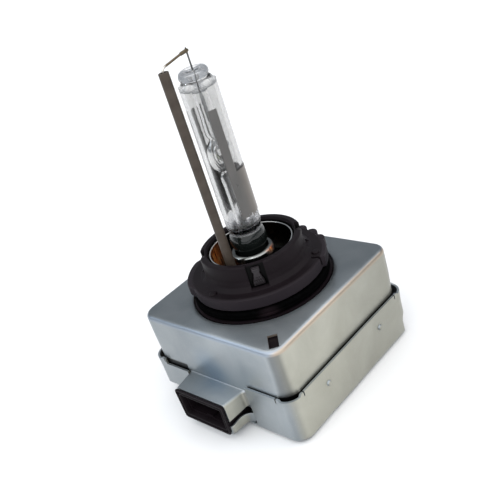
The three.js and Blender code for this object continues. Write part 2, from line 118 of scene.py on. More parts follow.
def make_world():
    """Soft grey room, a little lighter overhead."""
    world = bpy.data.worlds.new("studio")
    world.use_nodes = True
    bpy.context.scene.world = world
    nodes, links = world.node_tree.nodes, world.node_tree.links
    place = nodes.new("ShaderNodeTexCoord")
    split = nodes.new("ShaderNodeSeparateXYZ")
    ramp = nodes.new("ShaderNodeValToRGB")
    links.new(place.outputs["Generated"], split.inputs[0])
    links.new(split.outputs["Z"], ramp.inputs["Fac"])
    stops = ramp.color_ramp.elements
    stops[0].position, stops[0].color = 0.0, (0.40, 0.43, 0.47, 1)
    stops[1].position, stops[1].color = 1.0, (0.45, 0.47, 0.50, 1)
    links.new(ramp.outputs["Color"], nodes["Background"].inputs["Color"])


def make_floor():
    """Wide pale disc, a hair below the tray. Its measures are in metres."""
    radius, sides, drop = 9, 64, 0.00002
    turns = (math.tau * k / sides for k in range(sides))
    mesh = bpy.data.meshes.new("floor")
    rim = [(radius * math.cos(t), radius * math.sin(t), -drop) for t in turns]
    mesh.from_pydata(rim, [], [list(range(sides))])
    floor = bpy.data.objects.new("floor", mesh)
    bpy.context.scene.collection.objects.link(floor)
    look = Look("floor_paper", roughness=0.95, specular=0.1)
    look.colour(look.ramp(look.noise(0.02, detail=3), (0.86, 0.86, 0.86), (0.88, 0.88, 0.88)))
    mesh.materials.append(look.material)


# ---------------------------------------------------------------- materials
class Look:
    """A Principled material whose colour, roughness and bump come from node textures in millimetres."""

    def __init__(self, name, roughness=0.5, metallic=0.0, specular=0.5, **sockets):
        self.material = bpy.data.materials.new(name)
        self.material.use_nodes = True
        self.nodes = self.material.node_tree.nodes
        self.links = self.material.node_tree.links
        self.shader = self.nodes["Principled BSDF"]
        self.shader.inputs["Roughness"].default_value = roughness
        self.shader.inputs["Metallic"].default_value = metallic
        self.shader.inputs["Specular IOR Level"].default_value = specular
        for socket, value in sockets.items():
            self.shader.inputs[socket.replace("_", " ")].default_value = value
        place = self.add("TexCoord", {}).outputs["Object"]
        scale = self.add("VectorMath", {0: place, "Scale": 1 / MM}, operation="SCALE")
        self.place = scale.outputs["Vector"]

    def add(self, kind, inputs, **settings):
        """A new node. Each input gets a constant, or a link from another node's output."""
        node = self.nodes.new(f"ShaderNode{kind}")
        for setting, value in settings.items():
            setattr(node, setting, value)
        for socket, value in inputs.items():
            if isinstance(value, bpy.types.NodeSocket):
                self.links.new(value, node.inputs[socket])
            else:
                node.inputs[socket].default_value = value
        return node

    def stretched(self, x, y, z):
        """The place, with noise along each axis made finer by the given factor."""
        return self.add("VectorMath", {0: self.place, 1: (x, y, z)}, operation="MULTIPLY").outputs["Vector"]

    def noise(self, scale, detail=4, roughness=0.55, place=None, distortion=0.0):
        return self.add("TexNoise", {
            "Vector": place or self.place, "Scale": scale, "Detail": detail,
            "Roughness": roughness, "Distortion": distortion,
        }).outputs["Fac"]

    def axis(self, name):
        return self.add("SeparateXYZ", {0: self.place}).outputs[name]

    def facing(self, name):
        """The part of the surface's normal along one axis of the object."""
        normal = self.add("TexCoord", {}).outputs["Normal"]
        return self.add("SeparateXYZ", {0: normal}).outputs[name]

    def math(self, operation, first, second=0.0, clamp=False):
        return self.add("Math", {0: first, 1: second}, operation=operation, use_clamp=clamp).outputs[0]

    def both(self, *factors):
        """The factors' product."""
        product = factors[0]
        for factor in factors[1:]:
            product = self.math("MULTIPLY", product, factor)
        return product

    def rest(self, factor):
        """What the factor leaves of 1."""
        return self.math("SUBTRACT", 1, factor)

    def blend(self, first, second, share):
        """The given share of the first, and the rest of the second."""
        return self.math("ADD", self.both(first, share), self.both(second, 1 - share))

    def between(self, value, low, high):
        """0 up to low, 1 from high on, smooth between."""
        ends = {"Value": value, "From Min": low, "From Max": high}
        return self.add("MapRange", ends, interpolation_type="SMOOTHSTEP").outputs["Result"]

    def near(self, centre, radius):
        """1 at a point, falling to 0 at the given radius from it."""
        offset = self.add("VectorMath", {0: self.place, 1: centre}, operation="DISTANCE")
        return self.between(offset.outputs["Value"], radius, 0)

    def ramp(self, factor, *colours, stops=(0.3, 0.7)):
        """Runs through the colours, with each at its stop."""
        node = self.add("ValToRGB", {"Fac": factor})
        elements = node.color_ramp.elements
        while len(elements) < len(colours):
            elements.new(0.5)
        for element, position, colour in zip(elements, stops, colours):
            element.position = position
            element.color = (*colour, 1)
        return node.outputs["Color"]

    def mix(self, factor, first, second):
        first, second = ((*tone, 1) if isinstance(tone, tuple) else tone for tone in (first, second))
        return self.add("Mix", {0: factor, 6: first, 7: second}, data_type="RGBA").outputs[2]

    def colour(self, source):
        self.links.new(source, self.shader.inputs["Base Color"])

    def roughness(self, factor, low, high):
        span = self.add("MapRange", {"Value": factor, "To Min": low, "To Max": high})
        self.links.new(span.outputs["Result"], self.shader.inputs["Roughness"])

    def bump(self, height, depth, strength):
        """Adds a bump of the given depth in millimetres on top of any earlier one."""
        node = self.add("Bump", {"Height": height, "Distance": depth * MM, "Strength": strength})
        normal = self.shader.inputs["Normal"]
        if normal.is_linked:
            self.links.new(normal.links[0].from_socket, node.inputs["Normal"])
        self.links.new(node.outputs["Normal"], normal)


def steel_look(name, shade_below=None):
    """Tin-plated pressed sheet: dull, faintly mottled, with drawing lines and fine scratches, and with
    painted reflections, highlights and shade.

    Below the given height, where the wall stands in the tray, it is painted near-black as shade in the gap,
    except in the tray's door."""
    look = Look(name, metallic=0.82)
    both, rest, between = look.both, look.rest, look.between
    mottle = look.noise(0.09, detail=5, distortion=0.6)
    grain = look.noise(2.2, detail=6, roughness=0.7)
    cool = look.ramp(mottle, (0.29, 0.325, 0.348), (0.385, 0.415, 0.432))
    warm = look.ramp(mottle, (0.365, 0.36, 0.305), (0.45, 0.445, 0.385))
    sideways, upwards = look.facing("X"), look.facing("Z")
    across, along, height = (look.axis(name) for name in "XYZ")

    # Painted reflection: faces turned towards +X take the warm tone, the others the cool one.
    tone = look.mix(between(sideways, 0.45, 0.95), cool, warm)
    # Painted reflection: a soft blue-grey patch on the front wall above the shroud.
    painted_blue_reflection = look.near((-1.5, -21.8, 14), 7.5)
    tone = look.mix(both(painted_blue_reflection, 0.8), tone, (0.22, 0.30, 0.385))
    tone = look.mix(between(grain, 0.55, 0.8), tone, (0.45, 0.45, 0.44))

    # Painted shade: faces turned partly towards +X, round the can's vertical corners, are darker.
    bend = both(between(sideways, 0.15, 0.5), rest(between(sideways, 0.8, 0.98)))
    corner_shade_depth = 0.6 if shade_below else 0.25
    bend = both(bend, rest(between(upwards, 0.2, 0.5)), corner_shade_depth)
    tone = look.mix(bend, tone, (0.10, 0.10, 0.095))

    # Painted highlight: the rounded top edge is pale blue at the front and tan towards +X.
    edge_highlight = both(between(height, CAN.z1 - 1.3, CAN.z1 - 0.8), rest(between(upwards, 0.82, 0.96)))
    edge_highlight_tone = look.mix(between(sideways, 0.3, 0.8), (0.34, 0.39, 0.46), (0.50, 0.40, 0.31))
    tone = look.mix(both(edge_highlight, 0.8), tone, edge_highlight_tone)

    # Painted shade: the top, and more faintly the walls, darken away from the near corner.
    far_shade = between(rest(look.near((CAN.x1, CAN.y0 + 6.2, CAN.z1), 46)), 0.25, 0.85)
    lid = both(between(upwards, 0.5, 0.95), between(height, 18, 22))
    tone = look.mix(both(lid, far_shade, 0.55), tone, (0.05, 0.06, 0.065))
    tone = look.mix(both(rest(lid), far_shade, 0.24), tone, (0.05, 0.055, 0.055))
    # Painted shade: inside the tray and below the given height the wall is near-black, except in the door.
    if shade_below:
        wall = -TRAY.y1 + 0.6
        below = rest(between(height, shade_below, shade_below + 0.5))
        behind = between(along, wall, wall + 0.1)
        front = rest(between(along, wall + 1.0, wall + 1.1))
        door = both(between(across, -10.6, -10.4), rest(between(across, 9.3, 9.5)), front)
        tone = look.mix(both(below, behind, rest(door)), tone, (0.01, 0.01, 0.01))
    look.colour(tone)

    drawing = look.noise(1.0, detail=5, roughness=0.65, place=look.stretched(2.2, 2.2, 0.12))
    scratches = look.noise(0.9, detail=8, roughness=0.75, place=look.stretched(6, 0.5, 1.2))
    look.roughness(look.blend(drawing, mottle, 0.6), 0.24, 0.46)
    look.bump(look.noise(0.11, detail=2), 0.5, 0.35)
    look.bump(drawing, 0.02, 0.35)
    look.bump(scratches, 0.012, 0.3)
    look.bump(grain, 0.006, 0.35)
    return look.material


def cup_steel_look(name, dark, light, weld, reach, rim=None):
    """Drawn sheet that holds the burner, with a straw, orange and bronze painted reflection round one point.

    A sheet with a rim height has a light band there, a painted highlight; without one its upward faces are
    painted darker, as shade."""
    look = Look(name, roughness=0.2)
    turning = look.noise(1.0, detail=5, place=look.stretched(0.5, 0.5, 7))
    bands = look.noise(1.2, detail=3, place=look.stretched(1, 1, 0.25))
    bronze, orange, straw = (0.10, 0.014, 0.004), (0.72, 0.19, 0.03), (0.88, 0.45, 0.16)
    tint = look.ramp(bands, bronze, orange, straw, stops=(0.35, 0.52, 0.7))
    # Painted reflection: straw, orange and bronze round the given point, with less metal there.
    reflection_share = look.near(weld, reach)
    tone = look.mix(reflection_share, look.ramp(turning, dark, light), tint)
    look.links.new(look.rest(look.both(reflection_share, 0.6)), look.shader.inputs["Metallic"])
    if rim:
        # Painted highlight: a light band along the top of the rim.
        tone = look.mix(look.between(look.axis("Z"), rim - 0.12, rim), tone, (0.50, 0.50, 0.49))
    else:
        # Painted shade: upward faces are darker.
        tone = look.mix(look.between(look.facing("Z"), 0.55, 0.95), tone, (0.10, 0.105, 0.10))
    look.colour(tone)
    look.roughness(turning, 0.12, 0.28)
    look.bump(turning, 0.01, 0.4)
    return look.material


def black_plastic_look(name="black_plastic", specular=0.09, lift=1, is_base=False):
    """Glass-filled black moulding: fine spark-eroded grain with slightly shinier worn patches.

    On the base the slots' recesses are painted darker as shade, and the flange's rim is painted lighter as a
    reflection."""
    look = Look(name, specular=specular)
    patches = look.noise(0.16, detail=4)
    grain = look.noise(5.5, detail=4, roughness=0.7)
    low, high = ([v * lift for v in tone] for tone in ((0.0062, 0.0040, 0.0052), (0.0100, 0.0068, 0.0086)))
    tone = look.ramp(patches, low, high, stops=(0.3, 0.72))
    if is_base:
        squares = [look.both(look.axis(way), look.axis(way)) for way in "XY"]
        radius = look.math("SQRT", look.math("ADD", *squares))
        # Painted shade: the slots' recesses low in the collar are near-black.
        recess_shade = look.rest(look.between(radius, 12.0, 12.1))
        low_in_collar = look.rest(look.between(look.axis("Z"), BASE.z1 - 0.8, BASE.z1 - 0.5))
        # Painted reflection: the flange's rim band is lighter.
        tone = look.mix(look.between(radius, 15.6, 15.95), tone, (0.0165, 0.0125, 0.0155))
        tone = look.mix(look.both(recess_shade, low_in_collar), tone, (0.0008, 0.0008, 0.0008))
    look.colour(tone)
    look.roughness(look.blend(patches, grain, 0.5), 0.34, 0.62)
    look.bump(patches, 0.08, 0.3)
    look.bump(grain, 0.02, 0.55)
    return look.material


def rubber_look():
    """Dull black seal with a little dust, and one lighter patch, a painted highlight."""
    look = Look("seal_rubber", specular=0.01)
    dust = look.noise(1.4, detail=6, roughness=0.75)
    clean = look.ramp(dust, (0.0006, 0.0006, 0.0007), (0.003, 0.003, 0.0032), stops=(0.45, 0.85))
    # Painted highlight: a lighter patch on the ring's front.
    look.colour(look.mix(look.near((12.4, -11.6, 24.7), 3.6), clean, (0.014, 0.009, 0.011)))
    look.roughness(dust, 0.55, 0.85)
    look.bump(dust, 0.02, 0.4)
    return look.material


def quartz_look(name, tint, density, foot=None):
    """Flame-worked quartz: greyed by its tint and by its thickness, with faint drawn streaks.

    foot is the height range of a frosted seam, below which the glass is painted dark, as shade seen through
    it. Glass with a foot is the outer bulb's, which is also clearer beside the chamber and towards the crown."""
    look = Look(name, roughness=0.0, Transmission_Weight=1.0, IOR=1.458)
    streaks = look.noise(1.0, detail=4, place=look.stretched(1.6, 1.6, 0.08))
    clear = look.ramp(streaks, tint, tuple(v * 1.06 for v in tint))
    if foot:
        low, high = foot
        height = look.axis("Z")
        clear = look.mix(look.near((-2.6, -3.2, ARC_CENTRE), 5.5), clear, (0.93, 0.93, 0.92))
        clear = look.mix(look.between(height, 73.0, 74.4), clear, (0.92, 0.925, 0.93))
        # Painted shade: below the seam the glass is dark and lets less light through.
        shaded_foot = look.rest(look.between(height, low - 0.7, low))
        flecks = look.noise(1.4, detail=5, roughness=0.7)
        ragged_height = look.math("SUBTRACT", height, flecks)
        below_top = look.rest(look.between(ragged_height, high - 1.2, high - 0.2))
        seam = look.math("SUBTRACT", below_top, shaded_foot, clamp=True)
        frost = look.both(seam, look.between(flecks, 0.42, 0.56))
        frosted = look.mix(frost, clear, (0.92, 0.93, 0.97))
        look.colour(look.mix(shaded_foot, frosted, (0.012, 0.015, 0.014)))
        look.links.new(look.rest(look.both(shaded_foot, 0.6)), look.shader.inputs["Transmission Weight"])
        look.roughness(frost, 0.0, 0.4)
        look.bump(look.both(flecks, look.math("ADD", seam, 0.25)), 0.12, 0.35)
    else:
        look.colour(clear)
        look.roughness(look.noise(0.5, detail=5), 0.0, 0.012)
    look.bump(streaks, 0.012, 0.2)
    smoke = look.add("VolumeAbsorption", {"Color": (0.06, 0.03, 0.0, 1), "Density": density / MM})
    look.links.new(smoke.outputs[0], look.nodes["Material Output"].inputs["Volume"])
    return look.material


def enamel_look():
    """Grey-brown light-shield enamel fired on the glass, thin and faintly uneven."""
    look = Look("shield_enamel", specular=0.6)
    cloud = look.noise(0.35, detail=4, place=look.stretched(1, 1, 0.4))
    speck = look.noise(5, detail=5, roughness=0.7)
    grey = look.ramp(cloud, (0.068, 0.065, 0.061), (0.090, 0.085, 0.080))
    brown = look.ramp(cloud, (0.125, 0.104, 0.085), (0.155, 0.132, 0.11))
    tone = look.mix(look.between(look.axis("Y"), -1.5, 2.5), grey, brown)
    look.colour(look.mix(look.between(speck, 0.66, 0.8), tone, (0.17, 0.16, 0.15)))
    look.roughness(cloud, 0.22, 0.4)
    look.bump(speck, 0.006, 0.4)
    return look.material


def ceramic_look():
    """Unglazed brown tube with pale pores and darker firing bands."""
    look = Look("brown_ceramic", specular=0.3)
    bands = look.noise(0.5, detail=3, place=look.stretched(0.3, 0.3, 1))
    pores = look.noise(6, detail=4, roughness=0.7)
    body = look.ramp(bands, (0.042, 0.031, 0.023), (0.062, 0.048, 0.037))
    look.colour(look.mix(look.between(pores, 0.62, 0.8), body, (0.13, 0.105, 0.085)))
    look.roughness(pores, 0.38, 0.62)
    look.bump(pores, 0.02, 0.5)
    return look.material


def wire_look(name, base, tint, tint_centre, tint_reach):
    """Drawn wire with length-wise lines and a tone round one point: a painted highlight on the nickel wire
    and the crimped sleeve, darker round the lead's top.
    """
    look = Look(name, metallic=1.0)
    lines = look.noise(1.0, detail=4, place=look.stretched(9, 9, 0.8))
    metal = look.ramp(lines, base, tuple(v * 1.25 for v in base))
    # The tone round the point is a painted highlight on the nickel wire and the crimped sleeve.
    look.colour(look.mix(look.near(tint_centre, tint_reach), metal, tint))
    look.roughness(lines, 0.22, 0.42)
    look.bump(lines, 0.012, 0.4)
    return look.material


def plain_look(name, dark, light, roughness=(0.4, 0.65), scale=1.2, depth=0.02, metallic=0.0):
    """Fine even grain between two tones."""
    look = Look(name, metallic=metallic)
    grain = look.noise(scale, detail=5)
    look.colour(look.ramp(grain, dark, light))
    look.roughness(grain, *roughness)
    look.bump(grain, depth, 0.4)
    return look.material


def plain_metal_look(name, dark, light, scale=1.5):
    return plain_look(name, dark, light, (0.25, 0.45), scale, 0.01, metallic=1.0)


def salt_look():
    """Grey-green salt crust that lets about half of the light through."""
    look = Look("salt_film", roughness=0.6, Transmission_Weight=0.55, IOR=1.1)
    crust = look.noise(1.6, detail=5)
    look.colour(look.ramp(crust, (0.80, 0.86, 0.62), (0.95, 0.96, 0.80)))
    look.bump(crust, 0.03, 0.4)
    return look.material


def winding_look(name, copper_dark, copper_light, pitch):
    """Enamelled wire wound side by side along X."""
    look = Look(name, metallic=1.0, Coat_Weight=0.6, Coat_Roughness=0.15)
    turns = look.math("SINE", look.both(look.axis("X"), math.tau / pitch))
    look.colour(look.ramp(look.between(turns, -1, 1), copper_dark, copper_light, stops=(0.1, 0.8)))
    look.roughness(look.noise(2.0), 0.25, 0.45)
    look.bump(turns, 0.08, 0.7)
    return look.material


# ---------------------------------------------------------------- mesh tools
def rounded(corners, steps=6, closed=True):
    """Replaces each corner (a, b, radius) of an outline by an arc. Returns (a, b) points."""
    points = []
    count = len(corners)
    for i, (a, b, radius) in enumerate(corners):
        corner = Vector((a, b))
        if radius == 0 or (not closed and i in (0, count - 1)):
            points.append(corner)
            continue
        to_last = (Vector(corners[i - 1][:2]) - corner).normalized()
        to_next = (Vector(corners[(i + 1) % count][:2]) - corner).normalized()
        half = to_last.angle(to_next) / 2
        centre = corner + (to_last + to_next).normalized() * radius / math.sin(half)
        start = corner + to_last * radius / math.tan(half) - centre
        end = corner + to_next * radius / math.tan(half) - centre
        first = math.atan2(start.y, start.x)
        sweep = (math.atan2(end.y, end.x) - first + math.pi) % math.tau - math.pi
        for k in range(steps + 1):
            angle = first + sweep * k / steps
            points.append(centre + radius * Vector((math.cos(angle), math.sin(angle))))
    return points


def flowing(points, steps=6):
    """A smooth curve through (a, b) points, Catmull-Rom."""
    curve = []
    for i in range(len(points) - 1):
        before, start, end, after = (
            Vector(points[min(max(i + k, 0), len(points) - 1)]) for k in (-1, 0, 1, 2)
        )
        for k in range(steps):
            t = k / steps
            curve.append(0.5 * (
                2 * start + (end - before) * t
                + (2 * before - 5 * start + 4 * end - after) * t ** 2
                + (3 * start - before - 3 * end + after) * t ** 3
            ))
    curve.append(Vector(points[-1]))
    return curve


def new_piece(name, points, faces, sharp=35, outward=True):
    """A mesh object from points in millimetres, cleaned, with faces out and smooth shading."""
    mesh = bpy.data.meshes.new(name)
    mesh.from_pydata([tuple(p) for p in points], [], faces)
    bm = bmesh.new()
    bm.from_mesh(mesh)
    bmesh.ops.remove_doubles(bm, verts=bm.verts, dist=1e-4)
    bmesh.ops.dissolve_degenerate(bm, edges=bm.edges, dist=1e-5)
    if outward:
        bmesh.ops.recalc_face_normals(bm, faces=bm.faces)
    bmesh.ops.scale(bm, vec=(MM, MM, MM), verts=bm.verts)
    bm.to_mesh(mesh)
    bm.free()
    piece = bpy.data.objects.new(name, mesh)
    bpy.context.scene.collection.objects.link(piece)
    smooth(piece, sharp)
    return piece


def smooth(piece, sharp=35):
    piece.data.polygons.foreach_set("use_smooth", [True] * len(piece.data.polygons))
    piece.data.set_sharp_from_angle(angle=math.radians(sharp))


def loft(name, loops, wrap=False, caps=True, sharp=35, outward=True):
    """Skins a list of closed loops of equal length; wrap also joins the last to the first."""
    size = len(loops[0])
    points = [p for loop in loops for p in loop]
    faces = []
    for i in range(len(loops) if wrap else len(loops) - 1):
        low, high = i * size, (i + 1) % len(loops) * size
        faces += [
            (low + k, low + (k + 1) % size, high + (k + 1) % size, high + k) for k in range(size)
        ]
    if caps and not wrap:
        faces.append(tuple(reversed(range(size))))
        faces.append(tuple(range(len(points) - size, len(points))))
    return new_piece(name, points, faces, sharp, outward)


def lathe(name, outline, segments=128, centre=(0, 0), closed=True, sharp=35):
    """Turns an outline of (radius, height) points about a vertical axis."""
    turn = [(math.cos(a), math.sin(a)) for a in (math.tau * k / segments for k in range(segments))]
    loops = [[Vector((centre[0] + r * c, centre[1] + r * s, z)) for c, s in turn] for r, z in outline]
    return loft(name, loops, wrap=closed, caps=not closed, sharp=sharp)


def rect_loop(half_x, half_y, radius, z, centre=(0, 0), corner_steps=12, side_steps=12):
    """Closed loop of points round a horizontal rounded rectangle."""
    loop = []
    signs = ((1, 1), (-1, 1), (-1, -1), (1, -1))
    for quarter, (sx, sy) in enumerate(signs):
        pivot = Vector((centre[0] + sx * (half_x - radius), centre[1] + sy * (half_y - radius), z))
        for k in range(corner_steps + 1):
            angle = math.pi / 2 * (quarter + k / corner_steps)
            loop.append(pivot + radius * Vector((math.cos(angle), math.sin(angle), 0)))
        nx, ny = signs[(quarter + 1) % 4]
        ahead = Vector((centre[0] + nx * (half_x - radius), centre[1] + ny * (half_y - radius), z))
        angle = math.pi / 2 * (quarter + 1)
        target = ahead + radius * Vector((math.cos(angle), math.sin(angle), 0))
        start = loop[-1]
        loop += [start.lerp(target, k / side_steps) for k in range(1, side_steps)]
    return loop


def rolled_edge(half_x, half_y, corner, edge, z, way, centre=(0, 0), steps=7):
    """Loops that turn from a flat face at height z into its walls, up where way is 1 and down where -1."""
    loops = []
    for k in range(1, steps + 1):
        t = math.pi / 2 * k / steps
        inset = edge * (1 - math.sin(t))
        height = z + way * edge * (1 - math.cos(t))
        loops.append(rect_loop(half_x - inset, half_y - inset, corner - inset, height, centre))
    return loops


def brick(name, x, y, z, turn=0, bevel=0.0):
    """Block between the given (low, high) pairs, turned about the Z axis by degrees."""
    corners = [Vector((a, b, c)) for c in z for b in y for a in x]
    spin = Matrix.Rotation(math.radians(turn), 3, "Z")
    faces = [(0, 2, 3, 1), (4, 5, 7, 6), (0, 1, 5, 4), (2, 6, 7, 3), (0, 4, 6, 2), (1, 3, 7, 5)]
    piece = new_piece(name, [spin @ c for c in corners], faces)
    if bevel:
        soften(piece, bevel)
    return piece


def modify(piece, kind, **settings):
    """Gives the piece a modifier with the given settings."""
    modifier = piece.modifiers.new(kind.lower(), kind)
    for setting, value in settings.items():
        setattr(modifier, setting, value)


def apply_modifiers(piece, sharp=35):
    """Keeps the result of the piece's modifiers as its mesh."""
    bpy.context.view_layer.update()
    evaluated = piece.evaluated_get(bpy.context.evaluated_depsgraph_get())
    mesh = bpy.data.meshes.new_from_object(evaluated)
    piece.modifiers.clear()
    piece.data = mesh
    smooth(piece, sharp)


def boolean(piece, tools, operation="DIFFERENCE"):
    """Cuts the tools from the piece, or joins them to it, and removes them."""
    for tool in tools:
        modify(piece, "BOOLEAN", operation=operation, solver="EXACT", object=tool)
    apply_modifiers(piece)
    for tool in tools:
        bpy.data.objects.remove(tool)


def soften(piece, width, angle=40):
    """Rounds the piece's edges that are sharper than the angle."""
    modify(piece, "BEVEL", width=width * MM, segments=2, limit_method="ANGLE",
           angle_limit=math.radians(angle), harden_normals=False)
    apply_modifiers(piece)


def thicken(piece, thickness, sharp=35):
    """Gives an open skin a thickness behind its outer face."""
    modify(piece, "SOLIDIFY", thickness=thickness * MM, offset=-1, use_even_offset=True)
    apply_modifiers(piece, sharp)


def reshape(piece, move):
    """Moves each vertex by move(point, normal), both in millimetres."""
    vertices = piece.data.vertices
    moved = [v.co + Vector(move(v.co / MM, v.normal)) * MM for v in vertices]
    vertices.foreach_set("co", [c for place in moved for c in place])
    piece.data.update()


def merge(piece, others):
    """Adds the other pieces' meshes to the piece."""
    bm = bmesh.new()
    bm.from_mesh(piece.data)
    for other in others:
        bm.from_mesh(other.data)
        bpy.data.objects.remove(other)
    bm.to_mesh(piece.data)
    bm.free()


def finish_piece(piece, material, slot, *nodes):
    """Gives a piece its material, and lets it stand for its CAD nodes on the one fixed body."""
    piece.data.materials.clear()
    piece.data.materials.append(material)
    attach(piece, "root")
    if nodes:
        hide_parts(*nodes)


def around(middle, half):
    """The (low, high) pair that reaches half to either side of the middle."""
    return middle - half, middle + half


def upright(outline, y):
    """An (x, z) outline as a loop of points at the given y."""
    return [Vector((p.x, y, p.y)) for p in outline]


def ease(value):
    """0 to 1, smooth at both ends."""
    t = min(max(value, 0.0), 1.0)
    return t * t * (3 - 2 * t)


# ---------------------------------------------------------------- igniter can
HOLE = SEAL.radius + 0.6
SHROUD = {"left": CONNECTOR.x0, "right": CONNECTOR.x1, "roof": CONNECTOR.z1, "bottom": 5.9}
LIP = {"floor": 1.2, "top": 4.1}


def upper_shell(material):
    """Square pressed can with a round hole in its top, and the shroud over the connector."""
    half_x = (CAN.x1 - CAN.x0) / 2
    centre = ((CAN.x1 + CAN.x0) / 2, 0)
    half_y, top, corner, edge = CAN.y1, CAN.z1, 3.7, 1.05
    outer = rect_loop(half_x - edge, half_y - edge, corner - edge, top, centre)

    def circle(radius, z):
        ways = [Vector((p.x, p.y, 0)).normalized() for p in outer]
        return [Vector((radius * way.x, radius * way.y, z)) for way in ways]

    hole_rim = ((HOLE, 1.1), (HOLE, 0.45), (HOLE + 0.13, 0.13), (HOLE + 0.45, 0))
    loops = [circle(radius, top - depth) for radius, depth in hole_rim]
    lid_steps, wall_steps = 7, 16
    loops += [[a.lerp(b, k / lid_steps) for a, b in zip(loops[-1], outer)] for k in range(1, lid_steps + 1)]
    loops += rolled_edge(half_x, half_y, corner, edge, top, -1, centre)
    for k in range(1, wall_steps + 1):
        z = top - edge - (top - edge - CAN.z0) * k / wall_steps
        loops.append(rect_loop(half_x, half_y, corner + 0.5 * ease((19 - z) / 8), z, centre))
    shell = loft("upper_shell_skin", loops, caps=False)

    def press_marks(point, normal):
        ripple = 0.07 * noise.noise(point / 9)
        nick = 0.22 * math.exp(-((point - Vector((half_x, -11, top - 0.5))).length / 0.8) ** 2)
        pit = 0.15 * math.exp(-((point - Vector((-17.5, CAN.y0 + 6.2, top - 0.8))).length / 0.7) ** 2)
        return normal * (ripple - nick - pit)

    reshape(shell, press_marks)
    thicken(shell, SHEET)
    slot = brick("slot", (23.2, 27.9), around(0, 1.1), (top - 2, top + 1), turn=-44.3)
    gate_x = (SHROUD["left"] + SHEET, SHROUD["right"] - SHEET)
    gate = brick("gate", gate_x, (-24, -20.5), (0, SHROUD["roof"] - SHEET))
    boolean(shell, [slot, gate])
    merge(shell, [connector_shroud()])
    smooth(shell)
    finish_piece(shell, material, "can_steel", "upper_shell")


def connector_shroud():
    """Folded cover over the connector: a channel that spreads towards the can and flares into its wall."""
    front, wall = CAN.y0, CAN.y0 + 6.2

    def section(y):
        spread = (y - front) / (wall - front)
        left, right = SHROUD["left"] - spread, SHROUD["right"] + spread
        left, right = left - flare(wall - y, 0.8), right + flare(wall - y, 1.4)
        roof, low = SHROUD["roof"] + flare(wall - y, 0.6), SHROUD["bottom"] + 0.6 * spread
        outline = rounded([
            (left, low, 0.1), (left, roof, 0.7), (right, roof, 0.7), (right, low, 0.1),
            (right - SHEET, low, 0.1), (right - SHEET, roof - SHEET, 0.3),
            (left + SHEET, roof - SHEET, 0.3), (left + SHEET, low, 0.1),
        ])
        return upright(outline, y)

    stations = [wall - 1.5 * (k / 12) ** 1.5 for k in range(13)] + [wall - 3, front + 0.1, front]
    return loft("shroud", [section(y) for y in stations])


def flare(away, reach):
    """How far a wall has curved outwards at a distance from the wall it runs into."""
    return reach - math.sqrt(reach ** 2 - (reach - min(max(away, 0), reach)) ** 2)


PRESS_WAY = Vector((0.639, 0.769, 0))     # towards the tray's pressed-in corner


def lower_tray(material):
    """Pressed tray round the can's lower half, with snap dimples and the lip under the connector."""
    half_x, half_y, corner, edge = 22.8, TRAY.y1, 3.6, 1.6
    floor_x, floor_y = half_x - edge, half_y - edge
    loops = [rect_loop(floor_x * s, floor_y * s, (corner - edge) * s, 0) for s in (0.05, 0.35, 0.7, 0.9, 1)]
    loops += rolled_edge(half_x, half_y, corner, edge, 0, 1)
    wall_steps = 14
    for k in range(1, wall_steps + 1):
        loops.append(rect_loop(half_x, half_y, corner, edge + (TRAY.z1 - edge) * k / wall_steps))
    tray = loft("lower_tray_skin", loops, caps=False, outward=False)
    cap = brick("cap", around(0, 1.3), around(0, 1.3), (0, SHEET))
    if tray.data.polygons[-1].normal.y * tray.data.polygons[-1].center.y < 0:
        tray.data.flip_normals()

    def rim_marks(point, normal):
        ripple = 0.05 * noise.noise(point / 8 + Vector((7, 0, 0)))
        diagonal = min(abs(point.x) - (half_x - corner), abs(point.y) - (half_y - corner))
        in_corner = ease(diagonal / 0.5)
        upper = ease((point.z - 8.6) / 3.6)
        drop = -0.35 * in_corner * upper
        bulge = normal * (ripple + 0.16 * in_corner * upper) + Vector((0, 0, drop))
        outside = point.dot(PRESS_WAY) - 29.4
        pressed = max(outside, 0) * ease((4.9 - point.z) / 0.6)
        under = max(4.4 - point.z - (point.y + half_y), 0) / 2 * ease((-10.4 - point.x) / 0.8)
        return bulge - PRESS_WAY * pressed + Vector((0, under, under))

    reshape(tray, rim_marks)
    thicken(tray, SHEET)
    front = (-half_y - 0.4, -half_y + 2.2)
    door = brick("door", (SHROUD["left"] - 1, SHROUD["right"] + 2.4), front, (LIP["floor"] + SHEET, 14))
    rim_step = brick("rim_step", (-17.9, SHROUD["left"]), front, (10.8, 14))
    slits = []
    for sx in (-1, 1):
        for sy in (-1, 1):
            side_y, front_x = sy * (half_y - corner - 0.9), sx * (half_x - corner - 0.9)
            slits.append(brick("slit", around(22.5 * sx, 1.5), around(side_y, 0.16), (11.3, 14)))
            slits.append(brick("slit", around(front_x, 0.16), around(22.5 * sy, 1.5), (11.3, 14)))
    boolean(tray, [door, rim_step, *slits])
    merge(tray, [cap, tray_lip(half_y), *snap_dimples(half_x)])
    smooth(tray)
    finish_piece(tray, material, "can_steel", "lower_tray")


